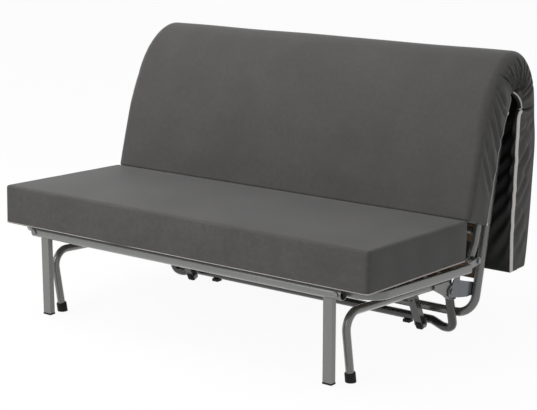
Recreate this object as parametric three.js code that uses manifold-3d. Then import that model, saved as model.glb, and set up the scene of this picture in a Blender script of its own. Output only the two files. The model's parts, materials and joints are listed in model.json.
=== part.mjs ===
// A zigzag fold-out sofa bed: a welded tube base, three slatted frames that fold like an accordion,
// and a long foam mattress in a fitted cover that makes the seat, the back and a panel behind it.
// Millimetres, +X to the side, +Y to the rear, +Z up. The origin lies on the floor under the middle.

import * as THREE from 'three';
import * as BufferGeometryUtils from 'three/addons/utils/BufferGeometryUtils.js';
import Module from 'manifold-3d';

const wasm = await Module();
wasm.setup();

// Angles in degrees
const seatRakeAngle = 1.8;
const backLeanAngle = 74.5;
const rearLeanAngle = 77;

// Mattress
const mattressWidth = 1400;
const mattressThickness = 118;
const seatThickness = 125;
const seatLength = 531;
const seatRearGap = 1;
const creaseY = seatLength + seatRearGap;
const creaseGap = 1.5;
const edgeRound = 22;
const seamRound = 9;
const edgeBias = 2.2;
const seatCrown = 7;
const sideDraw = 5;
const panelSetback = 290;
const hangFace = creaseY + panelSetback;
const hangBottom = 181;
const hangTop = 690;
const foldSeamDrop = 7.7621;
const slabGap = 1;

// Heights of the mattress's underside: at the front of the seat, and in the bed behind it
const seatDeck = 300;
const bedDeck = 280;

// The three cross axes: base pivot, seat fold and top fold
const basePivotSetback = 96;
const basePivotY = creaseY + basePivotSetback;
const basePivotZ = 152;
const seatFoldZ = 262;
const topFoldRise = 22;
const topFoldZ = hangTop + topFoldRise;

// Tubes and slats
const railDepth = 34;
const frameTube = 14;
const backTube = 12.5;
const crossTube = 11;
const tubeWall = 1.5;
const slatWidth = 53;
const slatThickness = 7;
const slatInset = 8;
const plateThickness = 4;
const fit = 0.3;
const runningFit = 0.4;
const playFit = 1;
const overrun = 40;

// Half widths: how far the side members of each frame stand inside the mattress's side
const seatTubeInset = 10;
const backRailInset = 50;
const rearRailInset = 70;
const baseInset = 128;
const seatTubeX = mattressWidth / 2 - seatTubeInset;
const backRailX = mattressWidth / 2 - backRailInset;
const rearRailX = mattressWidth / 2 - rearRailInset;
const baseX = mattressWidth / 2 - baseInset;

// Front rail and the legs under it
const railRadius = 17;
const railInset = 99;
const railHalfLength = mattressWidth / 2 - railInset;
const railY = 33;
const railZ = -17.6;
const railWall = 2;
const railBoltInset = 15;
const legInset = 49;
const railBoltX = railHalfLength - railBoltInset;
const legX = railHalfLength - legInset;
const legY = 36;
const legWide = 30;
const legDeep = 20;
const legClear = 12;
const legCapHeight = 5;
const legCapLip = 0.8;
const legPlugDepth = 14;

// Seat side tubes: a flat oval that rounds the front corners and sinks a little towards the rear
const sideTubeTall = 28;
const sideTubeWide = 16;
const sideTubeFrontZ = -15.5;
const sideTubeRearZ = -29;
const sideTubeReach = 39;
const sideTubeEndY = seatLength + sideTubeReach;
const sideCornerRadius = 62;
const sideTubeTipInset = 29;
const sideTubeTipX = railHalfLength - sideTubeTipInset;

// Base
const baseTube = 12.5;
const footY = 116;
const frontCornerY = 82;
const frontCornerZ = 210;
const rearCornerZ = 176;
const frontBendRadius = 48;
const legSlope = 0.267;
const legSetback = 20;
const loopRadius = 34;
const hoopRise = 10;
const hoopSetback = 16;
const hoopBendRadius = 40;
const hoopCornerRadius = 23;
const hoopStepOutInset = 36;
const hoopStepInInset = 86;
const hoopPadInset = 177;
const hoopStepOutX = baseX - hoopStepOutInset;
const hoopStepInX = baseX - hoopStepInInset;
const hoopPadX = baseX - hoopPadInset;
const hoopPadWide = 24;
const rubberRadius = 16.5;
const rubberHeight = 30;
const baseTieReach = 56;
const baseTieY = basePivotY - baseTieReach;
const rollerInset = 102;
const rollerX = baseX - rollerInset;
const rollerRadius = 18;
const rollerWidth = 18;
const rollerSetback = 28;
const rollerY = basePivotY + rollerSetback;
const channelHoleZ = 107;
const channelDeep = 22;
const axleRadius = 4;

// Hinge hardware
const pivotPinRadius = 5;
const pinHead = 9;
const pinHeadThickness = 4;
const eyeRadius = 12;
const pivotEyeRadius = 15;

const turn = Math.PI / 180;
const rake = seatRakeAngle * turn;
const lean = backLeanAngle * turn;
const fall = rearLeanAngle * turn;

// Slope vectors in the side view, as [y, z]: along each leaning frame, and square to it, away from the sitter
const backUp = [Math.cos(lean), Math.sin(lean)];
const backOut = [Math.sin(lean), -Math.cos(lean)];
const rearUp = [Math.cos(fall), Math.sin(fall)];
const rearOut = [Math.sin(fall), -Math.cos(fall)];
const dot = (a, b) => a[0] * b[0] + a[1] * b[1];

// The crease between seat and back, and the plane of the back mattress's rear face
const crease = [
  creaseY,
  seatDeck - creaseY * Math.tan(rake) + mattressThickness / Math.cos(rake),
];
const backPlane = dot(backOut, crease) + mattressThickness + slabGap;

// The fold axes are placed so that all three frames come level at the bed's height
const basePivot = [basePivotY, basePivotZ];
const seatFold = [
  (bedDeck - seatFoldZ + backPlane - backOut[1] * seatFoldZ) / backOut[0],
  seatFoldZ,
];
const topFold = [
  (bedDeck - basePivotZ + dot(rearOut, basePivot) + backPlane
    - (rearOut[1] + backOut[1]) * topFoldZ) / (rearOut[0] + backOut[0]),
  topFoldZ,
];
const topFoldDepth = dot(backOut, topFold) - backPlane;
const rearPlane = dot(rearOut, topFold) + topFoldDepth;
const basePivotDepth = rearPlane - dot(rearOut, basePivot);
const seatFoldDepth = dot(backOut, seatFold) - backPlane;
const backLength = dot(backUp, topFold) - dot(backUp, seatFold);
const rearLength = dot(rearUp, topFold) - dot(rearUp, basePivot);

// Everything is placed from the mattress's front face, then set over the origin at the middle of the depth
const rearMost = hangFace + mattressThickness;
const middleY = (rearMost + seatCrown) / 2;

const model = new THREE.Group();
model.position.set(0, -middleY, 0);

const baseGroup = new THREE.Group();
const seatGroup = new THREE.Group();
seatGroup.position.set(0, 0, seatDeck);
seatGroup.rotation.x = -rake;
const backGroup = new THREE.Group();
backGroup.position.set(
  0,
  seatFold[0] - backOut[0] * seatFoldDepth,
  seatFold[1] - backOut[1] * seatFoldDepth,
);
backGroup.rotation.x = lean;
const rearGroup = new THREE.Group();
rearGroup.position.set(
  0,
  basePivot[0] + rearOut[0] * basePivotDepth,
  basePivot[1] + rearOut[1] * basePivotDepth,
);
rearGroup.rotation.x = fall - Math.PI;
model.add(baseGroup, seatGroup, backGroup, rearGroup);

// The seat fold axis in the raked seat's own side view
const seatFoldLocal = [
  seatFold[0] * Math.cos(rake) - (seatFold[1] - seatDeck) * Math.sin(rake),
  seatFold[0] * Math.sin(rake) + (seatFold[1] - seatDeck) * Math.cos(rake),
];

// Finishes
const finish = (color, roughness, metalness) => () =>
  new THREE.MeshStandardMaterial({ color, roughness, metalness });
const greyPaint = finish(0x7c7e7b, 0.42, 0.35);
const darkPaint = finish(0x4a4b48, 0.5, 0.35);
const zinc = finish(0xb4b6b8, 0.35, 0.85);
const rubber = finish(0x1a1a1a, 0.85, 0);
const birch = finish(0xb98c5a, 0.55, 0);
const coverCloth = finish(0x56534f, 0.95, 0);

function put(group, name, geometry, material, x = 0, y = 0, z = 0) {
  const mesh = new THREE.Mesh(geometry, material());
  mesh.name = name;
  mesh.position.set(x, y, z);
  group.add(mesh);
  return mesh;
}

// Calls a maker once for each side: the name's ending and +1 on the right, -1 on the left
function bothSides(make) {
  make('left', -1);
  make('right', 1);
}

// Solid helpers: joining and cutting
function toSolid(geometry) {
  const bare = geometry.clone();
  bare.deleteAttribute('normal');
  bare.deleteAttribute('uv');
  const merged = BufferGeometryUtils.mergeVertices(bare, 1e-3);
  const mesh = new wasm.Mesh({
    numProp: 3,
    vertProperties: new Float32Array(merged.attributes.position.array),
    triVerts: new Uint32Array(merged.index.array),
  });
  return new wasm.Manifold(mesh);
}

function fromSolid(solid) {
  const mesh = solid.getMesh();
  const geometry = new THREE.BufferGeometry();
  const position = new THREE.BufferAttribute(new Float32Array(mesh.vertProperties), 3);
  geometry.setAttribute('position', position);
  geometry.setIndex(new THREE.BufferAttribute(new Uint32Array(mesh.triVerts), 1));
  geometry.computeVertexNormals();
  return geometry;
}

function join(...geometries) {
  return fromSolid(geometries.map(toSolid).reduce((sum, next) => sum.add(next)));
}

function cut(geometry, ...tools) {
  return fromSolid(tools.map(toSolid).reduce((rest, tool) => rest.subtract(tool), toSolid(geometry)));
}

function common(a, b) {
  return fromSolid(toSolid(a).intersect(toSolid(b)));
}

// A box from its middle and its three sizes
function block(x, y, z, wide, deep, tall) {
  const geometry = new THREE.BoxGeometry(wide, deep, tall);
  geometry.translate(x, y, z);
  return geometry;
}

// A round bar lying along X
function barX(x0, x1, y, z, radius, sides = 16) {
  const geometry = new THREE.CylinderGeometry(radius, radius, Math.abs(x1 - x0), sides);
  geometry.rotateZ(Math.PI / 2);
  geometry.translate((x0 + x1) / 2, y, z);
  return geometry;
}

// A round bar from one point to another
function barBetween(from, to, radius, sides = 16) {
  const a = new THREE.Vector3(...from);
  const b = new THREE.Vector3(...to);
  const geometry = new THREE.CylinderGeometry(radius, radius, a.distanceTo(b), sides);
  const direction = b.clone().sub(a).normalize();
  const upright = new THREE.Vector3(0, 1, 0);
  geometry.applyQuaternion(new THREE.Quaternion().setFromUnitVectors(upright, direction));
  geometry.translate(...a.add(b).multiplyScalar(1 / 2).toArray());
  return geometry;
}

// A plate cut from an outline in the side view, with its faces at x0 and x1
function sidePlate(shape, x0, x1, curveSegments = 8) {
  const depth = Math.abs(x1 - x0);
  const geometry = new THREE.ExtrudeGeometry(shape, { depth, bevelEnabled: false, curveSegments });
  geometry.rotateX(Math.PI / 2);
  geometry.rotateZ(Math.PI / 2);
  geometry.translate(Math.min(x0, x1), 0, 0);
  return geometry;
}

// A bar of constant width along a side-view centre line, with a round end where a radius is given
function strapShape(points, width) {
  const shape = new THREE.Shape();
  const left = [];
  const right = [];
  points.forEach((point, i) => {
    const before = points[Math.max(i - 1, 0)];
    const after = points[Math.min(i + 1, points.length - 1)];
    const length = Math.hypot(after[0] - before[0], after[1] - before[1]);
    const normal = [(before[1] - after[1]) / length, (after[0] - before[0]) / length];
    left.push([point[0] + (normal[0] * width) / 2, point[1] + (normal[1] * width) / 2]);
    right.unshift([point[0] - (normal[0] * width) / 2, point[1] - (normal[1] * width) / 2]);
  });
  [...left, ...right].forEach(([y, z], i) => (i ? shape.lineTo(y, z) : shape.moveTo(y, z)));
  shape.closePath();
  return shape;
}

function discShape(y, z, radius) {
  const shape = new THREE.Shape();
  shape.absarc(y, z, radius, 0, Math.PI * 2, false);
  return shape;
}

function polygonShape(points) {
  const shape = new THREE.Shape();
  points.forEach(([y, z], i) => (i ? shape.lineTo(y, z) : shape.moveTo(y, z)));
  shape.closePath();
  return shape;
}

// A path of straight runs with round bends. Its stations lie only where the direction changes.
class BentPath extends THREE.Curve {
  constructor(corners, radii, stepsPerBend = 8) {
    super();
    const points = corners.map((corner) => new THREE.Vector3(...corner));
    this.stations = [points[0]];
    this.directions = [points[1].clone().sub(points[0]).normalize()];
    for (let i = 1; i < points.length - 1; i += 1) {
      this.addBend(points[i - 1], points[i], points[i + 1], radii[i - 1], stepsPerBend);
    }
    const last = points.length - 1;
    this.stations.push(points[last]);
    this.directions.push(points[last].clone().sub(points[last - 1]).normalize());
  }

  addBend(before, corner, after, radius, steps) {
    const incoming = corner.clone().sub(before).normalize();
    const outgoing = after.clone().sub(corner).normalize();
    const angle = incoming.angleTo(outgoing);
    const setback = radius * Math.tan(angle / 2);
    const start = corner.clone().addScaledVector(incoming, -setback);
    const inward = outgoing.clone().addScaledVector(incoming, -Math.cos(angle)).normalize();
    for (let i = 0; i <= steps; i += 1) {
      const swing = (angle * i) / steps;
      const station = start.clone();
      station.addScaledVector(incoming, radius * Math.sin(swing));
      station.addScaledVector(inward, radius * (1 - Math.cos(swing)));
      const direction = incoming.clone().multiplyScalar(Math.cos(swing));
      direction.addScaledVector(inward, Math.sin(swing));
      this.stations.push(station);
      this.directions.push(direction.normalize());
    }
  }

  get steps() {
    return this.stations.length - 1;
  }

  getPoint(t, target = new THREE.Vector3()) {
    const at = Math.min(t, 1) * this.steps;
    const i = Math.min(Math.floor(at), this.steps - 1);
    return target.copy(this.stations[i]).lerp(this.stations[i + 1], at - i);
  }

  getPointAt(t, target) {
    return this.getPoint(t, target);
  }

  getTangentAt(t, target = new THREE.Vector3()) {
    const at = Math.round(Math.min(t, 1) * this.steps);
    return target.copy(this.directions[at]);
  }
}

function sweep(path, shape, curveSegments) {
  return new THREE.ExtrudeGeometry(shape, { extrudePath: path, steps: path.steps, curveSegments });
}

function bentTube(corners, radii, radius, stepsPerBend = 8, sides = 12) {
  const path = new BentPath(corners, radii, stepsPerBend);
  return sweep(path, discShape(0, 0, radius), sides / 2);
}

// A headed pin along X, with its heads just outside the plates it holds, between x0 and x1
function headedPin(x0, x1, y, z, radius = pivotPinRadius) {
  const low = Math.min(x0, x1) - fit;
  const high = Math.max(x0, x1) + fit;
  return join(
    barX(low - pinHeadThickness, high + pinHeadThickness, y, z, radius),
    barX(low - pinHeadThickness, low, y, z, pinHead, 6),
    barX(high, high + pinHeadThickness, y, z, pinHead),
  );
}

// A soft slab: rounded edges, a crowned top, and long sides drawn in between the corners.
// It stands on z = 0 with its front edge at y = 0. frontRound and rearRound flatten its two end edges.
function softSlab(wide, long, thick, frontRound, rearRound) {
  const across = 26;
  const along = 14;
  const up = 6;
  const geometry = new THREE.BoxGeometry(1, 1, 1, across, along, up);
  const position = geometry.attributes.position;
  const ease = (s) => Math.sign(s) * (1 - (1 - Math.abs(2 * s)) ** edgeBias);
  const half = [wide / 2, long / 2, thick / 2];
  for (let i = 0; i < position.count; i += 1) {
    const u = ease(position.getX(i));
    const v = ease(position.getY(i));
    const w = ease(position.getZ(i));
    const radii = [edgeRound, v < 0 ? frontRound : rearRound, edgeRound];
    const core = half.map((h, k) => h - radii[k]);
    const target = [u * half[0], v * half[1], w * half[2]];
    const inner = target.map((value, k) => THREE.MathUtils.clamp(value, -core[k], core[k]));
    const push = new THREE.Vector3(...target.map((value, k) => (value - inner[k]) / radii[k]));
    if (push.lengthSq() > 0) {
      push.normalize();
    }
    const bulge = (1 - u ** 4) * (1 - v * v);
    const drawn = (1 - v * v) * (1 - w * w) * Math.abs(u) ** 8;
    position.setXYZ(
      i,
      inner[0] + push.x * radii[0] - Math.sign(u) * sideDraw * drawn,
      inner[1] + push.y * radii[1] + half[1],
      inner[2] + push.z * radii[2] + half[2] + (w > 0 ? seatCrown * bulge * w : 0),
    );
  }
  geometry.deleteAttribute('uv');
  geometry.deleteAttribute('normal');
  const merged = BufferGeometryUtils.mergeVertices(geometry, 1e-3);
  merged.computeVertexNormals();
  return merged;
}

// A bowed slat: its ends lie on rails whose tops are at endZ, and its middle rises to midZ
function slat(halfLength, endZ, midZ) {
  const shape = new THREE.Shape();
  const steps = 12;
  const height = (x) => endZ + (midZ - slatThickness - endZ) * (1 - (x / halfLength) ** 2);
  for (let i = 0; i <= steps; i += 1) {
    const x = -halfLength + (2 * halfLength * i) / steps;
    if (i === 0) {
      shape.moveTo(x, height(x));
    } else {
      shape.lineTo(x, height(x));
    }
  }
  for (let i = steps; i >= 0; i -= 1) {
    const x = -halfLength + (2 * halfLength * i) / steps;
    shape.lineTo(x, height(x) + slatThickness);
  }
  shape.closePath();
  const geometry = new THREE.ExtrudeGeometry(shape, { depth: slatWidth, bevelEnabled: false });
  geometry.rotateX(Math.PI / 2);
  geometry.translate(0, slatWidth / 2, 0);
  return geometry;
}

// Base: side tubes, rear hoop, gussets, tie tube, roller channels, rubber feet
const legLineY = (z) => basePivotY + legSetback - (z - basePivotZ) * legSlope;
const rearCornerY = legLineY(rearCornerZ);
const footDirection = new THREE.Vector3(0, frontCornerY - footY, frontCornerZ).normalize();
const hoopZ = frameTube;
const hoopY = legLineY(hoopZ);

function sideTube(side) {
  const lift = rubberHeight / 4;
  const foot = [
    side * baseX,
    footY + footDirection.y * lift,
    footDirection.z * lift,
  ];
  const corner = [side * baseX, frontCornerY, frontCornerZ];
  const end = [side * baseX, rearCornerY, rearCornerZ];
  const tube = bentTube([foot, corner, end], [frontBendRadius], baseTube, 10);
  const legTop = [side * baseX, legLineY(rearCornerZ + overrun), rearCornerZ + overrun];
  const legLow = [side * baseX, legLineY(basePivotZ - overrun), basePivotZ - overrun];
  const cope = barBetween(legLow, legTop, frameTube + fit, 12);
  return cut(tube, cope, block(
    side * baseX, rearCornerY + overrun, rearCornerZ, 2 * overrun, 2 * overrun, 2 * overrun,
  ));
}

function rubberFoot(side) {
  const wall = rubberRadius;
  const inner = baseTube + fit;
  const floor = rubberHeight / 4 - fit;
  const profile = [
    [0, -overrun / 2],
    [wall - 2 * tubeWall, -overrun / 2],
    [wall, -overrun / 4],
    [wall, rubberHeight - 2 * tubeWall],
    [wall - tubeWall, rubberHeight],
    [inner, rubberHeight],
    [inner, floor],
    [0, floor],
  ].map(([r, h]) => new THREE.Vector2(r, h));
  const cup = new THREE.LatheGeometry(profile, 16);
  const upright = new THREE.Vector3(0, 1, 0);
  cup.applyQuaternion(new THREE.Quaternion().setFromUnitVectors(upright, footDirection));
  cup.translate(side * baseX, footY, 0);
  const under = block(side * baseX, footY, -2 * overrun, 4 * overrun, 4 * overrun, 4 * overrun);
  return cut(cup, under);
}

function rearHoop() {
  const corners = [];
  const radii = [];
  const legTopZ = rearCornerZ + baseTube;
  const half = [
    [baseX, legLineY(legTopZ), legTopZ],
    [baseX, hoopY, hoopZ],
    [hoopStepOutX, hoopY, hoopZ],
    [hoopStepInX, hoopY + hoopSetback, hoopZ + hoopRise],
  ];
  half.forEach(([x, y, z]) => corners.push([x, y, z]));
  half.slice().reverse().forEach(([x, y, z]) => corners.push([-x, y, z]));
  radii.push(hoopCornerRadius, hoopBendRadius, hoopBendRadius);
  radii.push(hoopBendRadius, hoopBendRadius, hoopCornerRadius);
  return bentTube(corners, radii, frameTube, 6);
}

const gussetX = baseX + frameTube + fit;
const pivotPlateX = gussetX + plateThickness + playFit;
const plateRearX = rearRailX - frameTube - fit - plateThickness;

// Outlines of the gusset and of the pivot plate in the side view, as shares of their size
const gussetSize = 100;
const gussetShares = [
  [-1.056, -0.02], [-0.536, -0.29], [-0.356, -0.44], [-0.006, -0.56], [0.224, -0.56],
  [0.224, -0.26], [0.084, -0.1], [-0.076, -0.08], [-0.236, 0.08], [-0.416, 0.11], [-1.056, 0.14],
];
const pivotPlateLap = 6.0;
const pivotPlateSize = basePivotDepth - railDepth + pivotPlateLap;
const pivotPlateShares = [
  [-0.16, -0.12], [-0.16, 0.06], [-0.06, 0.16], [0.06, 0.2], [0.13, 0.33], [0.18, 0.35],
  [0.18, 0.46], [0.34, 0.43], [0.34, 0.3], [0.96, 0.13], [1, -0.06], [0.94, -0.28], [0.32, -0.25],
  [0, -0.2],
];

function gusset(side) {
  const shape = polygonShape(gussetShares.map(([y, z]) => [
    rearCornerY + y * gussetSize, rearCornerZ + z * gussetSize,
  ]));
  const plate = sidePlate(shape, side * gussetX, side * (gussetX + plateThickness));
  const hole = barX(
    side * (gussetX - overrun), side * (gussetX + overrun), basePivot[0], basePivot[1],
    pivotPinRadius + fit, 12,
  );
  return cut(plate, hole);
}

// The roller stands in a folded channel that leans forward from the roller to the tie tube
const tieZ = rearCornerZ + (rearCornerY - baseTieY)
  * ((frontCornerZ - rearCornerZ) / (rearCornerY - frontCornerY));
const channelSlope = (rollerY - baseTieY) / (tieZ - rollerRadius);
const channelLineY = (z) => rollerY - (z - rollerRadius) * channelSlope;

function rollerChannel(side) {
  const width = rollerWidth + 2 * (playFit + plateThickness);
  const deep = channelDeep;
  const low = [rollerY, rollerRadius];
  const top = tieZ - crossTube / 2;
  const high = [channelLineY(top), top];
  const length = Math.hypot(high[0] - low[0], high[1] - low[1]);
  const up = [(high[0] - low[0]) / length, (high[1] - low[1]) / length];
  const outline = strapShape([[low[0], low[1]], [high[0], high[1]]], deep);
  const x = side * rollerX;
  let channel = join(
    sidePlate(outline, x - width / 2, x + width / 2),
    sidePlate(discShape(low[0], low[1], deep / 2), x - width / 2, x + width / 2, 12),
  );
  const webSide = [up[1], -up[0]];
  const shift = plateThickness;
  const hollow = strapShape([
    [low[0] - up[0] * overrun + webSide[0] * shift, low[1] - up[1] * overrun + webSide[1] * shift],
    [high[0] + up[0] * overrun + webSide[0] * shift, high[1] + up[1] * overrun + webSide[1] * shift],
  ], deep);
  channel = cut(
    channel,
    sidePlate(hollow, x - width / 2 + plateThickness, x + width / 2 - plateThickness),
    sidePlate(
      discShape(low[0], low[1], rollerRadius + 2 * playFit),
      x - width / 2 + plateThickness, x + width / 2 - plateThickness, 12,
    ),
    barX(x - width, x + width, low[0], low[1], axleRadius + fit, 12),
    barBetween(
      [x, channelLineY(channelHoleZ) - overrun, channelHoleZ],
      [x, channelLineY(channelHoleZ) + overrun, channelHoleZ],
      axleRadius, 10,
    ),
    barX(x - width, x + width, baseTieY, tieZ, crossTube + fit, 24),
  );
  return channel;
}

function roller(side) {
  const half = rollerWidth / 2;
  const bore = axleRadius + runningFit;
  const lip = 2;
  const profile = [
    [bore, -half],
    [rollerRadius - 2 * lip, -half],
    [rollerRadius, -half + lip],
    [rollerRadius, half - lip],
    [rollerRadius - 2 * lip, half],
    [bore, half],
    [bore, -half],
  ].map(([r, h]) => new THREE.Vector2(r, h));
  const wheel = new THREE.LatheGeometry(profile, 24);
  wheel.rotateZ(Math.PI / 2);
  wheel.translate(side * rollerX, rollerY, rollerRadius);
  return wheel;
}

function channelAxle(side) {
  const half = rollerWidth / 2 + playFit + plateThickness;
  const x = side * rollerX;
  return headedPin(x - half, x + half, rollerY, rollerRadius, axleRadius);
}

bothSides((name, side) => {
  put(baseGroup, `base_side_${name}`, sideTube(side), greyPaint);
  put(baseGroup, `foot_${name}`, rubberFoot(side), rubber);
  put(baseGroup, `gusset_${name}`, gusset(side), greyPaint);
  put(baseGroup, `roller_channel_${name}`, rollerChannel(side), darkPaint);
  put(baseGroup, `roller_${name}`, roller(side), rubber);
  put(baseGroup, `roller_axle_${name}`, channelAxle(side), zinc);
});
put(baseGroup, 'rear_hoop', rearHoop(), greyPaint);
put(baseGroup, 'base_tie', barX(
  -(baseX - baseTube - fit), baseX - baseTube - fit, baseTieY, tieZ, crossTube, 24,
), greyPaint);

// Low pads under the middle run of the hoop
const padTop = hoopZ + hoopRise - frameTube - fit;
bothSides((name, side) => {
  put(baseGroup, `hoop_pad_${name}`, block(
    side * hoopPadX, hoopY + hoopSetback, padTop / 2, hoopPadWide, hoopPadWide, padTop,
  ), rubber);
});

// Rear frame: a U of tube, its pivot plates, its slats
const rearTabX = backRailX - backTube - 2 * playFit - plateThickness / 2;
const backTabX = rearTabX + plateThickness + playFit;
const tabReach = 34;
const tubeStop = 16;
const loopDrop = 67.7;
const rearBendRadius = 60;

// A flat tab from a tube's centre line to an eye on an axis square to it
function eyeTab(from, eye, x, width, radius) {
  return join(
    sidePlate(strapShape([from, eye], width), x - plateThickness / 2, x + plateThickness / 2),
    sidePlate(discShape(eye[0], eye[1], radius), x - plateThickness / 2, x + plateThickness / 2, 10),
  );
}

function rearU() {
  const top = -(rearLength - tubeStop);
  const tube = bentTube([
    [-rearRailX, top, -railDepth],
    [-rearRailX, loopDrop, -railDepth],
    [rearRailX, loopDrop, -railDepth],
    [rearRailX, top, -railDepth],
  ], [rearBendRadius, rearBendRadius], frameTube, 8);
  const eye = [-rearLength, -topFoldDepth];
  const tabs = [-1, 1].map((side) => eyeTab(
    [-(rearLength - tabReach), -railDepth], eye, side * rearTabX, 2 * crossTube, eyeRadius,
  ));
  const holes = barX(
    -seatTubeX, seatTubeX, eye[0], eye[1], pivotPinRadius + fit, 12,
  );
  return cut(join(tube, ...tabs), holes);
}

// The pivot plate steps outward from the base pivot to the inner face of the U
function pivotPlate(side) {
  const outline = polygonShape(pivotPlateShares.map(([y, z]) => [
    basePivotY + y * pivotPlateSize, basePivotZ + z * pivotPlateSize,
  ]));
  const blank = sidePlate(outline, side * baseX, side * (rearRailX + frameTube));
  const half = plateThickness / 2;
  const near = pivotPlateX + half;
  const far = plateRearX + half;
  const stepStart = basePivotY + pivotEyeRadius + playFit;
  const stepEnd = stepStart + 2 * (far - near);
  const line = [
    [near, basePivotY - overrun], [near, stepStart], [far, stepEnd], [far, rearMost],
  ];
  const band = new THREE.Shape();
  const outer = line.map(([x, y]) => [x + half, y]);
  const inner = line.slice().reverse().map(([x, y]) => [x - half, y]);
  [...outer, ...inner].forEach(([x, y], i) => {
    if (i) {
      band.lineTo(side * x, y);
    } else {
      band.moveTo(side * x, y);
    }
  });
  band.closePath();
  const strip = new THREE.ExtrudeGeometry(band, { depth: seatFoldZ, bevelEnabled: false });
  const hole = barX(
    side * (near - overrun), side * (near + overrun), basePivotY, basePivotZ,
    pivotPinRadius + fit, 12,
  );
  return cut(common(blank, strip), hole);
}

// Where a slat's end meets a round rail, inset from the rail's crest
const railRest = (radius) => -railDepth + Math.sqrt(radius ** 2 - slatInset ** 2) + fit;

// Slats at given distances along a frame, whose ends stand at endZ
function slats(group, prefix, places, halfLength, endZ) {
  places.forEach((y, i) => {
    const geometry = slat(halfLength, endZ(y), -fit);
    put(group, `${prefix}_slat_${i + 1}`, geometry, birch, 0, y, 0);
  });
}

const rearSlatShares = [0.12, 0.31, 0.5, 0.69, 0.88];
put(rearGroup, 'rear_u_tube', rearU(), greyPaint);
slats(
  rearGroup, 'rear', rearSlatShares.map((share) => -rearLength * share), rearRailX - slatInset,
  () => railRest(frameTube),
);
bothSides((name, side) => {
  put(model, `pivot_plate_${name}`, pivotPlate(side), greyPaint);
  put(model, `base_pivot_${name}`, headedPin(
    side * gussetX, side * (pivotPlateX + plateThickness), basePivotY, basePivotZ,
  ), zinc);
  put(rearGroup, `top_pivot_${name}`, headedPin(
    side * (rearTabX - plateThickness / 2), side * (backTabX + plateThickness / 2),
    -rearLength, -topFoldDepth,
  ), zinc);
});

// Back frame: two rails that curve forward to the seat pivots, two cross tubes, slats
const armBendY = 50;
const armStop = 8;
const crossInset = 62;

function backRail(side) {
  const x = side * backRailX;
  const eye = [0, -seatFoldDepth];
  const tube = bentTube([
    [x, backLength - tubeStop, -railDepth],
    [x, armBendY, -railDepth],
    [x, armStop, -seatFoldDepth - armStop / 2],
  ], [loopRadius], backTube, 5);
  const topTab = eyeTab(
    [backLength - tabReach, -railDepth], [backLength, -topFoldDepth], side * backTabX,
    2 * crossTube, eyeRadius,
  );
  const lowEye = eyeTab([armBendY / 2, -railDepth * 0.75], eye, x, 2 * crossTube, eyeRadius);
  const clear = barX(x - overrun, x + overrun, 0, -seatFoldDepth, eyeRadius, 20);
  const trimmed = join(cut(tube, clear), lowEye, topTab);
  return cut(
    trimmed,
    barX(x - overrun, x + overrun, 0, -seatFoldDepth, pivotPinRadius + fit, 12),
    barX(x - overrun, x + overrun, backLength, -topFoldDepth, pivotPinRadius + fit, 12),
  );
}

const backCrossHalf = backRailX - backTube - fit;
const backSlatShares = [0.297, 0.461, 0.625, 0.789];
bothSides((name, side) => {
  put(backGroup, `back_rail_${name}`, backRail(side), greyPaint);
});
[crossInset + armBendY / 2, backLength - crossInset].forEach((y, i) => {
  put(
    backGroup, i ? 'back_upper_cross' : 'back_lower_cross',
    barX(-backCrossHalf, backCrossHalf, y, -railDepth, crossTube), greyPaint,
  );
});
slats(
  backGroup, 'back', backSlatShares.map((share) => backLength * share), backRailX - slatInset,
  () => railRest(backTube),
);

// Seat frame: front rail on two legs, side tubes, a cross tube, slats, hinge plates
function frontRail() {
  const bar = barX(-railHalfLength, railHalfLength, railY, railZ, railRadius, 24);
  const bores = [-1, 1].map((side) => barX(
    side * (railHalfLength - overrun), side * (railHalfLength + overrun), railY, railZ,
    railRadius - railWall, 20,
  ));
  const boltHoles = [-1, 1].map((side) => barBetween(
    [side * railBoltX, railY - overrun, railZ], [side * railBoltX, railY + overrun, railZ],
    axleRadius + fit, 12,
  ));
  return cut(bar, ...bores, ...boltHoles);
}

const sideRunY = railY + railRadius + fit + sideTubeWide / 2;
const sideSlope = (sideTubeRearZ - sideTubeFrontZ) / (sideTubeEndY - sideRunY);
const sideLineZ = (y) => sideTubeFrontZ + (y - sideRunY) * sideSlope;

// The flat oval of the side tubes: across its path it is wide along the first axis of the sweep
function ovalShape(wide, tall) {
  const shape = new THREE.Shape();
  const straight = (tall - wide) / 2;
  shape.absarc(0, straight, wide / 2, 0, Math.PI, false);
  shape.absarc(0, -straight, wide / 2, Math.PI, 2 * Math.PI, false);
  shape.closePath();
  return shape;
}

// Swept in plan with a level section, and then leaned so that it sinks to the rear
function seatSide(side) {
  const corners = [
    [sideTubeTipX, sideRunY], [seatTubeX, sideRunY], [seatTubeX, sideTubeEndY],
  ];
  const path = new BentPath(corners.map(([x, y]) => [side * x, y, 0]), [sideCornerRadius], 8);
  const profile = ovalShape(sideTubeWide, sideTubeTall).getPoints(5);
  const rows = path.stations.map((station, i) => {
    const direction = path.directions[i];
    return profile.map((point) => [
      station.x + direction.y * point.x,
      station.y - direction.x * point.x,
      point.y + sideLineZ(station.y),
    ]);
  });
  return cut(skin(rows), barBetween(
    [side * railBoltX, railY, railZ], [side * railBoltX, railY + 2 * overrun, railZ],
    axleRadius + fit, 12,
  ));
}

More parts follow.
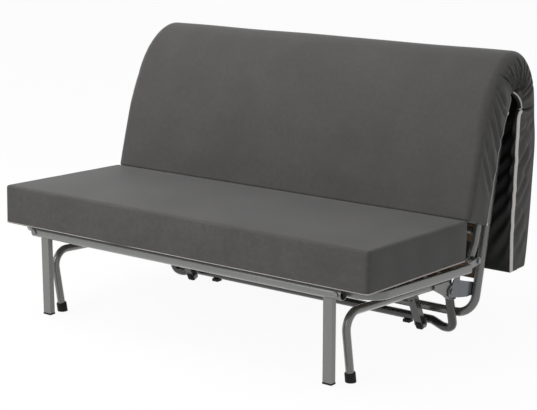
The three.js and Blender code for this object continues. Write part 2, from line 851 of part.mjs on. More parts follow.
// Closes a row of equal rings into one solid
function skin(rows) {
  const count = rows[0].length;
  const keep = rows.map((ring) => {
    const first = ring[0];
    const last = ring[count - 1];
    const same = Math.hypot(first[0] - last[0], first[1] - last[1], first[2] - last[2]) < fit;
    return same ? ring.slice(0, count - 1) : ring;
  });
  const n = keep[0].length;
  const points = keep.flat();
  const faces = [];
  for (let i = 0; i < keep.length - 1; i += 1) {
    for (let j = 0; j < n; j += 1) {
      const a = i * n + j;
      const b = i * n + ((j + 1) % n);
      faces.push([a, b, b + n], [a, b + n, a + n]);
    }
  }
  const base = (keep.length - 1) * n;
  for (let j = 1; j < n - 1; j += 1) {
    faces.push([0, j + 1, j], [base, base + j, base + j + 1]);
  }
  let volume = 0;
  faces.forEach(([a, b, c]) => {
    const [p, q, r] = [a, b, c].map((index) => new THREE.Vector3(...points[index]));
    volume += p.dot(q.cross(r));
  });
  const turned = volume < 0 ? faces.map(([a, b, c]) => [a, c, b]) : faces;
  const geometry = new THREE.BufferGeometry();
  geometry.setAttribute('position', new THREE.Float32BufferAttribute(points.flat(), 3));
  geometry.setIndex(turned.flat());
  geometry.computeVertexNormals();
  return geometry;
}

// The legs stand upright while the seat is raked, so they are drawn in the model's own frame
const railWorld = [
  railY * Math.cos(rake) + railZ * Math.sin(rake),
  seatDeck - railY * Math.sin(rake) + railZ * Math.cos(rake),
];

function frontLeg(side) {
  const x = side * legX;
  const top = railWorld[1] + railRadius / 2;
  const low = legClear + legCapHeight + fit;
  const tube = block(x, legY, (top + low) / 2, legWide, legDeep, top - low);
  const pocketTop = low + legPlugDepth + fit;
  const pocket = block(
    x, legY, pocketTop / 2, legWide - 2 * tubeWall, legDeep - 2 * tubeWall, pocketTop,
  );
  const cope = barX(
    x - legWide, x + legWide, railWorld[0], railWorld[1], railRadius + fit, 24,
  );
  const over = block(
    x, legY, railWorld[1] + overrun, 2 * legWide, 2 * legWide, 2 * overrun,
  );
  return cut(tube, pocket, cope, over);
}

function legCap(side) {
  const x = side * legX;
  const gap = 2 * (tubeWall + fit);
  const plugTop = legClear + legCapHeight + legPlugDepth;
  return join(
    block(
      x, legY, legClear + legCapHeight / 2, legWide + 2 * legCapLip, legDeep + 2 * legCapLip,
      legCapHeight,
    ),
    block(
      x, legY, (plugTop + legClear) / 2, legWide - gap, legDeep - gap, plugTop - legClear,
    ),
  );
}

function railBolt(side) {
  const x = side * railBoltX;
  const front = railY - railRadius - fit;
  const rear = sideRunY + sideTubeWide / 2 + fit;
  const bar = (y0, y1, radius, sides) => barBetween([x, y0, railZ], [x, y1, railZ], radius, sides);
  return join(
    bar(front - pinHeadThickness, rear + 2 * pinHeadThickness, axleRadius, 12),
    bar(front - pinHeadThickness, front, pinHead, 16),
    bar(rear, rear + pinHeadThickness, pinHead * 0.8, 6),
  );
}

const hingeReach = 50;
const hingePlateX = seatTubeX - sideTubeWide / 2 - fit - plateThickness / 2;

function seatHinge(side) {
  const x = side * hingePlateX;
  const eye = seatFoldLocal;
  const low = [sideTubeEndY, sideLineZ(sideTubeEndY)];
  const foreY = sideTubeEndY - hingeReach;
  const fore = [foreY, sideLineZ(foreY)];
  const plate = join(
    sidePlate(strapShape([fore, low, eye], 2 * crossTube), x - plateThickness / 2, x + plateThickness / 2),
    sidePlate(discShape(eye[0], eye[1], eyeRadius), x - plateThickness / 2, x + plateThickness / 2, 10),
  );
  return cut(plate, barX(x - overrun, x + overrun, eye[0], eye[1], pivotPinRadius + fit, 12));
}

// A shouldered pin keeps the arm and the hinge plate apart
function seatPin(side) {
  const armFace = backRailX + plateThickness / 2 + fit;
  const plateFace = hingePlateX - plateThickness / 2 - fit;
  return join(
    headedPin(
      side * (backRailX - plateThickness / 2), side * (hingePlateX + plateThickness / 2),
      seatFoldLocal[0], seatFoldLocal[1],
    ),
    barX(side * armFace, side * plateFace, seatFoldLocal[0], seatFoldLocal[1], pinHead * 0.8),
  );
}

const seatCrossInset = 41;
const seatCrossY = seatLength - seatCrossInset;
const firstSlatY = 146;
const lastSlatInset = 40;
const seatSlatRun = seatCrossY - lastSlatInset - firstSlatY;
const seatSlatShares = [0, 0.25, 0.5, 0.75, 1];
const seatCrossHalf = seatTubeX - sideTubeWide / 2 - fit;
put(seatGroup, 'front_rail', frontRail(), greyPaint);
put(seatGroup, 'seat_cross', barX(
  -seatCrossHalf, seatCrossHalf, seatCrossY, sideLineZ(seatCrossY), crossTube,
), greyPaint);
bothSides((name, side) => {
  put(seatGroup, `seat_side_${name}`, seatSide(side), greyPaint);
  put(seatGroup, `rail_bolt_${name}`, railBolt(side), zinc);
  put(seatGroup, `seat_hinge_${name}`, seatHinge(side), greyPaint);
  put(seatGroup, `seat_pivot_${name}`, seatPin(side), zinc);
  put(model, `front_leg_${name}`, frontLeg(side), greyPaint);
  put(model, `leg_cap_${name}`, legCap(side), rubber);
});
slats(
  seatGroup, 'seat', seatSlatShares.map((share) => firstSlatY + seatSlatRun * share), seatCrossHalf,
  (y) => sideLineZ(y) + sideTubeTall / 2 - slatThickness - playFit,
);

// Mattress: seat slab, back slab, the panel behind, and the fold that joins the last two
const backStart = dot(backUp, crease) - dot(backUp, seatFold) + creaseGap;
const backSlabLength = (hangTop - foldSeamDrop - crease[1]) / backUp[1] - creaseGap;
const backEnd = backStart + backSlabLength;
put(
  seatGroup, 'seat_mattress',
  softSlab(mattressWidth, seatLength, seatThickness, edgeRound, edgeRound), coverCloth,
);
put(
  backGroup, 'back_mattress',
  softSlab(mattressWidth, backSlabLength, mattressThickness, edgeRound, seamRound), coverCloth,
  0, backStart, 0,
);

const rearFaceY = (z) => (rearPlane + slabGap - rearOut[1] * z) / rearOut[0];
const frameRoom = backRailX + playFit;

function rearPanel() {
  const long = hangTop - hangBottom;
  const slab = softSlab(mattressWidth, long, mattressThickness, seamRound, edgeRound);
  slab.rotateX(-Math.PI / 2);
  slab.translate(0, hangFace, hangTop);
  const front = hangFace - overrun;
  const high = hangTop + overrun;
  const lowZ = (rearPlane + slabGap - rearOut[0] * front) / rearOut[1];
  const wedge = polygonShape([[front, lowZ], [rearFaceY(high), high], [front, high]]);
  return cut(slab, sidePlate(wedge, -frameRoom, frameRoom));
}
put(model, 'rear_mattress', rearPanel(), coverCloth);

// The outline of the fold, seen from the side: over the top, and the inside of the bend with its
// pinch, as shares of the mattress's thickness from the top of the panel's inner face
const foldOverShares = [
  [-1.712, 0.085], [-1.593, 0.339], [-1.407, 0.678], [-1.136, 1.034], [-0.847, 1.305],
  [-0.508, 1.534], [-0.102, 1.644], [0.203, 1.576], [0.492, 1.373], [0.763, 1.034],
  [0.915, 0.636], [0.966, 0.254],
];
const foldInnerShares = [
  [-0.673, 0.186], [-0.551, 0.339], [-0.373, 0.458], [-0.195, 0.534], [-0.085, 0.381],
];
const foldRoomShares = [
  [-0.271, -0.254], [-0.212, 0.407], [0.102, 0.407], [0.424, 0.186], [0.559, -0.017],
  [0.559, -0.254],
];
const foldPoints = (shares) => shares.map(([y, z]) => [
  hangFace + y * mattressThickness, hangTop + z * mattressThickness,
]);

function fold() {
  const toWorld = (along, out) => [
    seatFold[0] - backOut[0] * seatFoldDepth + backUp[0] * along - backOut[0] * out,
    seatFold[1] - backOut[1] * seatFoldDepth + backUp[1] * along - backOut[1] * out,
  ];
  const front = toWorld(backEnd + fit, mattressThickness - seamRound / 2);
  const rear = toWorld(backEnd + fit, seamRound / 2);
  const outline = polygonShape([
    rear, ...foldPoints(foldInnerShares), [hangFace + seamRound / 2, hangTop + fit],
    [rearMost - seamRound / 2, hangTop + fit], ...foldPoints(foldOverShares).reverse(), front,
  ]);
  const bevel = edgeRound;
  const geometry = new THREE.ExtrudeGeometry(outline, {
    depth: mattressWidth - 2 * bevel, bevelEnabled: true, bevelThickness: bevel,
    bevelSize: bevel / 2, bevelOffset: -bevel / 2, bevelSegments: 3, steps: 8,
  });
  geometry.rotateX(Math.PI / 2);
  geometry.rotateZ(Math.PI / 2);
  geometry.translate(-mattressWidth / 2 + bevel, 0, 0);
  return cut(geometry, sidePlate(polygonShape(foldPoints(foldRoomShares)), -frameRoom, frameRoom));
}
put(model, 'top_fold', fold(), coverCloth);

const group = new THREE.Group();
group.add(model);

export default group;
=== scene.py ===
import json
import math

import bmesh
import bpy
import numpy as np
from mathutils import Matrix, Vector


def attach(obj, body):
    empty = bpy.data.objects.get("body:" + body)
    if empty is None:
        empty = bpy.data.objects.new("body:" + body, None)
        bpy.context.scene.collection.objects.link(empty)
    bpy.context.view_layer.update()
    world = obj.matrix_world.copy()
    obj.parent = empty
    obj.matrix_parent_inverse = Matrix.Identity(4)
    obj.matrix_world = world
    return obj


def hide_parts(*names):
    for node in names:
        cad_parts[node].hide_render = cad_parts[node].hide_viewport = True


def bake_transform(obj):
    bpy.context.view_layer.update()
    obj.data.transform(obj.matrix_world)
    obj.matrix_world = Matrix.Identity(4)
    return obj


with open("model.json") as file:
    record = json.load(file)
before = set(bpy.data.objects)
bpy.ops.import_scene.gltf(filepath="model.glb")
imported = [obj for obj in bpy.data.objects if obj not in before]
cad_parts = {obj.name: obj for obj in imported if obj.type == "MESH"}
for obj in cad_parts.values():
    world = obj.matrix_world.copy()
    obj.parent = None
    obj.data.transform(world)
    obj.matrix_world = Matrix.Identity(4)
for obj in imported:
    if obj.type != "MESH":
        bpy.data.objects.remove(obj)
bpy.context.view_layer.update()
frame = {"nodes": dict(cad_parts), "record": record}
nodes = frame["nodes"]
scene = bpy.context.scene

# The side view is drawn in metres from the mattress's front face. MIDDLE moves it to the frame's y
MIDDLE = 0.4735
WIDE = 1.400
THICK = 0.118

WHITE = (1, 1, 1, 1)
FLOOR_HALF = 30
FLOOR_DROP = 0.0006
WEAVE_PITCH = 0.0011
TOOTH_PITCH = 0.0022
WELD_REACH = 1e-6
SHARP_ANGLE = 36


def smooth(t):
    t = np.clip(t, 0, 1)
    return t * t * (3 - 2 * t)


# Camera and light

CAMERA_TILT = 12.94
CAMERA_TURN = 37.3
camera_data = bpy.data.cameras.new("camera")
camera_data.sensor_width = 36
camera_data.lens = 101.32
camera_data.clip_start = 0.1
camera_data.clip_end = 60
camera = bpy.data.objects.new("camera", camera_data)
scene.collection.objects.link(camera)
camera.location = (2.8532, -3.2639 - MIDDLE, 1.4503)
camera.rotation_euler = (math.radians(90 - CAMERA_TILT), 0, math.radians(CAMERA_TURN))
scene.camera = camera
scene.view_settings.view_transform = "Standard"


def node_tree(owner):
    owner.use_nodes = True
    tree = owner.node_tree
    tree.nodes.clear()
    return tree


def make(tree, kind, **values):
    node = tree.nodes.new(kind)
    for key, value in values.items():
        setattr(node, key, value)
    return node


def white_rays(tree):
    """1 for the rays that show the backdrop: from the camera, in gloss, and through glass."""
    path = make(tree, "ShaderNodeLightPath")
    first = make(tree, "ShaderNodeMath", operation="MAXIMUM")
    second = make(tree, "ShaderNodeMath", operation="MAXIMUM")
    tree.links.new(path.outputs["Is Camera Ray"], first.inputs[0])
    tree.links.new(path.outputs["Is Transmission Ray"], first.inputs[1])
    tree.links.new(first.outputs[0], second.inputs[0])
    tree.links.new(path.outputs["Is Glossy Ray"], second.inputs[1])
    return second.outputs[0]


def build_world():
    world = bpy.data.worlds.new("studio")
    scene.world = world
    tree = node_tree(world)
    out = make(tree, "ShaderNodeOutputWorld")
    mix = make(tree, "ShaderNodeMixShader")
    lit = make(tree, "ShaderNodeBackground")
    seen = make(tree, "ShaderNodeBackground")
    lit.inputs["Color"].default_value = WHITE
    lit.inputs["Strength"].default_value = 0.56
    seen.inputs["Color"].default_value = WHITE
    seen.inputs["Strength"].default_value = 1.0
    tree.links.new(white_rays(tree), mix.inputs[0])
    tree.links.new(lit.outputs[0], mix.inputs[1])
    tree.links.new(seen.outputs[0], mix.inputs[2])
    tree.links.new(mix.outputs[0], out.inputs[0])


def area_light(name, place, target, size, power):
    data = bpy.data.lights.new(name, "AREA")
    data.shape = "RECTANGLE"
    data.size, data.size_y = size
    data.energy = power
    lamp = bpy.data.objects.new(name, data)
    scene.collection.objects.link(lamp)
    lamp.location = place
    lamp.rotation_euler = (Vector(target) - Vector(place)).to_track_quat("-Z", "Y").to_euler()


def build_floor():
    mesh = bpy.data.meshes.new("floor")
    corners = [(x * FLOOR_HALF, y * FLOOR_HALF, 0) for x, y in ((-1, -1), (1, -1), (1, 1), (-1, 1))]
    mesh.from_pydata(corners, [], [(0, 1, 2, 3)])
    floor = bpy.data.objects.new("floor", mesh)
    scene.collection.objects.link(floor)
    floor.location.z = -FLOOR_DROP
    material = bpy.data.materials.new("floor")
    tree = node_tree(material)
    out = make(tree, "ShaderNodeOutputMaterial")
    matte = make(tree, "ShaderNodeBsdfDiffuse")
    matte.inputs["Color"].default_value = (0.9, 0.9, 0.9, 1)
    glow = make(tree, "ShaderNodeEmission")
    glow.inputs["Color"].default_value = WHITE
    glow.inputs["Strength"].default_value = 1.0
    mix = make(tree, "ShaderNodeMixShader")
    share = make(tree, "ShaderNodeMath", operation="MULTIPLY")
    share.inputs[1].default_value = 0.94
    tree.links.new(white_rays(tree), share.inputs[0])
    tree.links.new(share.outputs[0], mix.inputs[0])
    tree.links.new(matte.outputs[0], mix.inputs[1])
    tree.links.new(glow.outputs[0], mix.inputs[2])
    tree.links.new(mix.outputs[0], out.inputs[0])
    mesh.materials.append(material)


build_world()
build_floor()
area_light("key", (-0.5, -3.9, 2.1), (0, 0, 0.4), (2.4, 2.0), 92)
area_light("top", (-1.1, -0.8, 3.4), (-0.2, -0.3, 0.3), (2.2, 1.8), 44)
area_light("left", (-2.8, -0.7, 1.5), (-0.4, -0.3, 0.3), (1.2, 1.2), 12)


# Materials

def principled(name):
    material = bpy.data.materials.new(name)
    tree = node_tree(material)
    out = make(tree, "ShaderNodeOutputMaterial")
    shader = make(tree, "ShaderNodeBsdfPrincipled")
    tree.links.new(shader.outputs[0], out.inputs[0])
    return material, tree, shader


def coordinates(tree, scale=(1, 1, 1)):
    source = make(tree, "ShaderNodeTexCoord")
    mapping = make(tree, "ShaderNodeMapping")
    mapping.inputs["Scale"].default_value = scale
    tree.links.new(source.outputs["Object"], mapping.inputs["Vector"])
    return mapping.outputs[0]


def noise(tree, vector, scale, detail, roughness):
    node = make(tree, "ShaderNodeTexNoise")
    node.inputs["Scale"].default_value = scale
    node.inputs["Detail"].default_value = detail
    node.inputs["Roughness"].default_value = roughness
    tree.links.new(vector, node.inputs["Vector"])
    return node.outputs["Fac"]


def ramp(tree, value, stops):
    node = make(tree, "ShaderNodeValToRGB")
    elements = node.color_ramp.elements
    while len(elements) < len(stops):
        elements.new(0.5)
    for element, (place, color) in zip(elements, stops):
        element.position = place
        element.color = (*color, 1)
    tree.links.new(value, node.inputs[0])
    return node.outputs[0]


def arithmetic(tree, operation, a, b=0.0):
    node = make(tree, "ShaderNodeMath", operation=operation)
    for socket, value in zip(node.inputs, (a, b)):
        if isinstance(value, (int, float)):
            socket.default_value = value
        else:
            tree.links.new(value, socket)
    return node.outputs[0]


def bump(tree, height, strength, distance, shader, under=None):
    node = make(tree, "ShaderNodeBump")
    node.inputs["Strength"].default_value = strength
    node.inputs["Distance"].default_value = distance
    tree.links.new(height, node.inputs["Height"])
    if under is not None:
        tree.links.new(under, node.inputs["Normal"])
    tree.links.new(node.outputs[0], shader.inputs["Normal"])
    return node.outputs[0]


def grey(low, high):
    """The two stops of a roughness ramp."""
    return [(0.3, (low,) * 3), (0.7, (high,) * 3)]


def weave_height(tree):
    """Threads that pass over and under each other, from the piece's own UV lengths in metres."""
    source = make(tree, "ShaderNodeUVMap", uv_map="cloth")
    parts = make(tree, "ShaderNodeSeparateXYZ")
    tree.links.new(source.outputs[0], parts.inputs[0])
    turns = math.pi / WEAVE_PITCH
    u = arithmetic(tree, "MULTIPLY", parts.outputs[0], turns)
    v = arithmetic(tree, "MULTIPLY", parts.outputs[1], turns)
    sin_u = arithmetic(tree, "SINE", u)
    sin_v = arithmetic(tree, "SINE", v)
    warp = arithmetic(tree, "MULTIPLY", sin_u, sin_u)
    weft = arithmetic(tree, "MULTIPLY", sin_v, sin_v)
    sum_uv = arithmetic(tree, "ADD", u, v)
    check = arithmetic(tree, "SINE", sum_uv)
    over = arithmetic(tree, "MULTIPLY", check, arithmetic(tree, "SUBTRACT", warp, weft))
    return arithmetic(tree, "ADD", over, arithmetic(tree, "ADD", warp, weft))


def cover_material(name, dark, mid, light):
    material, tree, shader = principled(name)
    place = coordinates(tree)
    cloud = noise(tree, place, 7.5, 4.0, 0.55)
    mottle = noise(tree, place, 75.0, 4.0, 0.6)
    grain = noise(tree, place, 620.0, 2.0, 0.6)
    finer = arithmetic(tree, "ADD", arithmetic(tree, "MULTIPLY", mottle, 0.50),
                       arithmetic(tree, "MULTIPLY", grain, 0.24))
    mixed = arithmetic(tree, "ADD", arithmetic(tree, "MULTIPLY", cloud, 0.26), finer)
    color = ramp(tree, mixed, [(0.38, dark), (0.5, mid), (0.62, light)])
    tree.links.new(color, shader.inputs["Base Color"])
    rough = ramp(tree, mottle, grey(0.62, 0.76))
    tree.links.new(rough, shader.inputs["Roughness"])
    shader.inputs["Specular IOR Level"].default_value = 0.32
    shader.inputs["Sheen Weight"].default_value = 0.12
    shader.inputs["Sheen Roughness"].default_value = 0.45
    soft = bump(tree, mottle, 0.10, 0.0016, shader)
    threads = arithmetic(tree, "ADD", weave_height(tree), arithmetic(tree, "MULTIPLY", grain, 0.8))
    bump(tree, threads, 0.22, 0.0003, shader, soft)
    return material


def paint_material(name, base, rough, metal, fleck=0.05):
    material, tree, shader = principled(name)
    place = coordinates(tree)
    fine = noise(tree, place, 500.0, 2.0, 0.5)
    broad = noise(tree, place, 9.0, 4.0, 0.6)
    low = tuple(c * (1 - fleck * 1.6) for c in base)
    high = tuple(c * (1 + fleck * 1.6) for c in base)
    mixed = arithmetic(tree, "ADD", arithmetic(tree, "MULTIPLY", fine, 0.45),
                       arithmetic(tree, "MULTIPLY", broad, 0.55))
    color = ramp(tree, mixed, [(0.38, low), (0.5, base), (0.62, high)])
    # paint rubs bright along the edges
    edge = make(tree, "ShaderNodeBevel", samples=4)
    edge.inputs["Radius"].default_value = 0.0012
    geometry = make(tree, "ShaderNodeNewGeometry")
    alike = make(tree, "ShaderNodeVectorMath", operation="DOT_PRODUCT")
    tree.links.new(edge.outputs[0], alike.inputs[0])
    tree.links.new(geometry.outputs["Normal"], alike.inputs[1])
    bend = arithmetic(tree, "SUBTRACT", 1.0, alike.outputs["Value"])
    worn = arithmetic(tree, "MULTIPLY", bend, 2.2)
    worn = arithmetic(tree, "MULTIPLY", worn, noise(tree, place, 60.0, 4.0, 0.7))
    worn = arithmetic(tree, "MINIMUM", worn, 0.30)
    mix = make(tree, "ShaderNodeMixRGB")
    tree.links.new(worn, mix.inputs[0])
    tree.links.new(color, mix.inputs[1])
    mix.inputs[2].default_value = (*[c * 1.9 + 0.05 for c in base], 1)
    tree.links.new(mix.outputs[0], shader.inputs["Base Color"])
    spread = ramp(tree, broad, grey(rough - 0.05, rough + 0.06))
    tree.links.new(spread, shader.inputs["Roughness"])
    shader.inputs["Metallic"].default_value = metal
    shader.inputs["Coat Weight"].default_value = 0.55
    shader.inputs["Coat Roughness"].default_value = 0.16
    bump(tree, fine, 0.02, 0.0001, shader)
    return material


def zinc_material():
    material, tree, shader = principled("zinc")
    place = coordinates(tree)
    spangle = make(tree, "ShaderNodeTexVoronoi")
    spangle.inputs["Scale"].default_value = 260.0
    tree.links.new(place, spangle.inputs["Vector"])
    fine = noise(tree, place, 380.0, 3.0, 0.6)
    shade = arithmetic(tree, "ADD", arithmetic(tree, "MULTIPLY", spangle.outputs["Distance"], 0.5),
                       arithmetic(tree, "MULTIPLY", fine, 0.5))
    color = ramp(tree, shade, [(0.2, (0.12, 0.123, 0.125)), (0.7, (0.24, 0.244, 0.248))])
    tree.links.new(color, shader.inputs["Base Color"])
    rough = ramp(tree, fine, grey(0.26, 0.42))
    tree.links.new(rough, shader.inputs["Roughness"])
    shader.inputs["Metallic"].default_value = 0.9
    bump(tree, fine, 0.08, 0.0002, shader)
    return material


def rubber_material():
    material, tree, shader = principled("rubber")
    place = coordinates(tree)
    grain = noise(tree, place, 700.0, 2.0, 0.6)
    dust = noise(tree, place, 45.0, 5.0, 0.65)
    color = ramp(tree, dust, [(0.35, (0.0035, 0.0035, 0.0035)), (0.72, (0.009, 0.0088, 0.0085))])
    tree.links.new(color, shader.inputs["Base Color"])
    rough = ramp(tree, dust, grey(0.5, 0.72))
    tree.links.new(rough, shader.inputs["Roughness"])
    shader.inputs["Specular IOR Level"].default_value = 0.22
    bump(tree, grain, 0.15, 0.0003, shader)
    return material


def birch_material():
    """Bent plywood: long grain in the veneer, and the glued layers along the edges."""
    material, tree, shader = principled("birch")
    long_grain = coordinates(tree, (1.2, 30, 30))
    streak = noise(tree, long_grain, 5.0, 7.0, 0.62)
    pores = noise(tree, coordinates(tree, (6, 260, 260)), 5.0, 3.0, 0.5)
    mixed = arithmetic(tree, "ADD", arithmetic(tree, "MULTIPLY", streak, 0.7),
                       arithmetic(tree, "MULTIPLY", pores, 0.3))
    # painted shade: these browns are darker and duller than birch's own tone, for slats that stand
    # in shade
    color = ramp(tree, mixed, [(0.34, (0.105, 0.060, 0.031)), (0.5, (0.160, 0.098, 0.053)),
                               (0.66, (0.225, 0.147, 0.085))])
    tree.links.new(color, shader.inputs["Base Color"])
    rough = ramp(tree, mixed, grey(0.38, 0.52))
    tree.links.new(rough, shader.inputs["Roughness"])
    shader.inputs["Coat Weight"].default_value = 0.15
    shader.inputs["Coat Roughness"].default_value = 0.35
    bump(tree, mixed, 0.12, 0.0004, shader)
    return material


def lining_and_shade_material():
    """The black spun lining under the foam, and painted shade on the inner faces that show beside
    the frame: matte, with small pressed dimples.
    """
    material, tree, shader = principled("lining_and_shade")
    place = coordinates(tree)
    cloud = noise(tree, place, 12.0, 4.0, 0.6)
    fibre = noise(tree, place, 480.0, 3.0, 0.7)
    cells = make(tree, "ShaderNodeTexVoronoi")
    cells.inputs["Scale"].default_value = 300.0
    tree.links.new(place, cells.inputs["Vector"])
    color = ramp(tree, arithmetic(tree, "ADD", arithmetic(tree, "MULTIPLY", cloud, 0.6),
                                  arithmetic(tree, "MULTIPLY", fibre, 0.4)),
                 [(0.36, (0.0100, 0.0096, 0.0093)), (0.64, (0.0225, 0.0218, 0.0212))])
    tree.links.new(color, shader.inputs["Base Color"])
    rough = ramp(tree, fibre, grey(0.6, 0.8))
    tree.links.new(rough, shader.inputs["Roughness"])
    shader.inputs["Specular IOR Level"].default_value = 0.3
    bump(tree, cells.outputs["Distance"], 0.2, 0.0004, shader)
    return material


def zip_material(name, dark, mid, light):
    """A pale woven tape with the fine teeth of a closed coil zip along it."""
    material, tree, shader = principled(name)
    source = make(tree, "ShaderNodeUVMap", uv_map="cloth")
    parts = make(tree, "ShaderNodeSeparateXYZ")
    tree.links.new(source.outputs[0], parts.inputs[0])
    along = arithmetic(tree, "MULTIPLY", parts.outputs[0], 2 * math.pi / TOOTH_PITCH)
    teeth = arithmetic(tree, "SINE", along)
    fine = noise(tree, coordinates(tree), 500.0, 2.0, 0.6)
    mixed = arithmetic(tree, "ADD", arithmetic(tree, "MULTIPLY", teeth, 0.12), fine)
    color = ramp(tree, mixed, [(0.3, dark), (0.5, mid), (0.7, light)])
    tree.links.new(color, shader.inputs["Base Color"])
    rough = ramp(tree, fine, grey(0.5, 0.66))
    tree.links.new(rough, shader.inputs["Roughness"])
    bump(tree, mixed, 0.3, 0.0004, shader)
    return material


charcoal = cover_material("charcoal_cover", (0.0345, 0.0330, 0.0321), (0.0440, 0.0421, 0.0409),
                          (0.0560, 0.0536, 0.0520))
# near-black lining under the slabs, which is also painted shade on the inner faces that show beside
# the frame
lining_and_shade = lining_and_shade_material()
zip_tape = zip_material("zip", (0.50, 0.475, 0.455), (0.62, 0.595, 0.575),
                        (0.74, 0.715, 0.695))
piping = zip_material("piping", (0.26, 0.240, 0.225), (0.34, 0.315, 0.298),
                      (0.43, 0.400, 0.380))
grey_paint = paint_material("silver_paint", (0.142, 0.146, 0.139), 0.24, 0.25, 0.02)
# painted shade: a darker copy of the silver paint, for frame parts that stand in the seat's shadow
dark_paint = paint_material("dark_paint", (0.026, 0.0265, 0.025), 0.30, 0.20, 0.02)
blue_paint = paint_material("plate_paint", (0.150, 0.157, 0.172), 0.44, 0.35)
zinc = zinc_material()
rubber = rubber_material()
birch = birch_material()


# The frame's own solids: finish and smooth shading

def dress(name, material):
    solid = nodes[name]
    mesh = solid.data
    mesh.materials.clear()
    mesh.materials.append(material)
    if mesh.has_custom_normals:
        mesh.attributes.remove(mesh.attributes["custom_normal"])
    mesh.polygons.foreach_set("use_smooth", [True] * len(mesh.polygons))
    weld = solid.modifiers.new("weld", "WELD")
    weld.merge_threshold = WELD_REACH
    split = solid.modifiers.new("split", "EDGE_SPLIT")
    split.split_angle = math.radians(SHARP_ANGLE)
    split.use_edge_sharp = False


RUBBER_NAMES = ("foot", "hoop_pad", "leg_cap")
ROLLERS = ("roller_left", "roller_right")

for name in nodes:
    if "slat" in name:
        dress(name, birch)
    elif name.startswith(RUBBER_NAMES) or name in ROLLERS:
        dress(name, rubber)
    elif "pivot_plate" in name:
        dress(name, blue_paint)
    elif "pivot" in name or "bolt" in name or "axle" in name:
        dress(name, zinc)
    elif "channel" in name or name in ("rear_hoop", "base_tie"):
        # painted shade: the roller channels, the rear hoop and the tie stand in shadow, so they get
        # the darker copy of the silver paint
        dress(name, dark_paint)
    elif "mattress" not in name and name != "top_fold":
        dress(name, grey_paint)


# Soft goods

# The planes of the slats in the side view: the back leans by LEAN, the rear frame by REAR_LEAN
LEAN = math.radians(74.5)
RAKE = math.radians(1.8)
OUT = np.array([math.sin(LEAN), -math.cos(LEAN)])
REAR_LEAN = math.radians(77)
REAR_OUT = np.array([math.sin(REAR_LEAN), -math.cos(REAR_LEAN)])
BACK_FOOT = np.array([0.61818, 0.26681])
BACK_PLANE = float(OUT @ BACK_FOOT)
record_joints = {j["name"]: j for j in frame["record"]["behaviour"]["joints"]}
TOP = np.array(record_joints["back_fold"]["pos_m"][1:]) + np.array([MIDDLE, 0])
REAR_PLANE = float(REAR_OUT @ TOP + (OUT @ TOP - BACK_PLANE))


def catmull(points, at):
    """A smooth curve through points, whose first column is the parameter."""
    points = np.array(points, float)
    knots = points[:, 0]
    values = points[:, 1:]
    slopes = np.gradient(values, knots, axis=0)
    at = np.clip(at, knots[0], knots[-1])
    i = np.clip(np.searchsorted(knots, at) - 1, 0, len(knots) - 2)
    h = knots[i + 1] - knots[i]
    t = (at - knots[i]) / h
    t2, t3 = t * t, t * t * t
    h = h[..., None]
    t, t2, t3 = t[..., None], t2[..., None], t3[..., None]
    return ((2 * t3 - 3 * t2 + 1) * values[i] + (t3 - 2 * t2 + t) * h * slopes[i]
            + (-2 * t3 + 3 * t2) * values[i + 1] + (t3 - t2) * h * slopes[i + 1])


def cluster(n, ends, power=1.9):
    """n + 1 values from 0 to 1, closer together near both ends."""
    s = np.linspace(-1, 1, n + 1)
    even = np.sign(s) * (1 - (1 - np.abs(s)) ** power)
    return (((1 - ends) * s + ends * even) + 1) / 2


def box_grid(us, vs, ws):
    """The six faces of a box as one closed quad mesh: points, faces and the side of each face."""
    index = {}
    points = []
    faces = []
    sides = []

    def point(i, j, k):
        key = (i, j, k)
        if key not in index:
            index[key] = len(points)
            points.append((us[i], vs[j], ws[k]))
        return index[key]

    a, b, c = len(us) - 1, len(vs) - 1, len(ws) - 1
    for k, name in ((0, "under"), (c, "top")):
        for i in range(a):
            for j in range(b):
                quad = [point(i, j, k), point(i + 1, j, k),
                        point(i + 1, j + 1, k), point(i, j + 1, k)]
                faces.append(quad if k else quad[::-1])
                sides.append(name)
    for j, name in ((0, "front"), (b, "rear")):
        for i in range(a):
            for k in range(c):
                quad = [point(i, j, k), point(i + 1, j, k),
                        point(i + 1, j, k + 1), point(i, j, k + 1)]
                faces.append(quad[::-1] if j else quad)
                sides.append(name)
    for i, name in ((0, "left"), (a, "right")):
        for j in range(b):
            for k in range(c):
                quad = [point(i, j, k), point(i, j + 1, k),
                        point(i, j + 1, k + 1), point(i, j, k + 1)]
                faces.append(quad if i else quad[::-1])
                sides.append(name)
    return np.array(points, float), faces, sides


def round_box(p, size, radii):
    """Rounds the edges of a box of that size, which stands on z 0 with y from 0. radii holds its
    radius along x, y and z, each for all points or one for each."""
    half = np.array(size) / 2
    centre = np.array([0, half[1], half[2]])
    q = p - centre
    r = np.stack([np.broadcast_to(x, len(p)) for x in radii], 1)
    core = half - r
    inner = np.clip(q, -core, core)
    push = (q - inner) / r
    length = np.linalg.norm(push, axis=1, keepdims=True)
    push = np.where(length > 0, push / np.maximum(length, 1e-12), push)
    return inner + push * r + centre


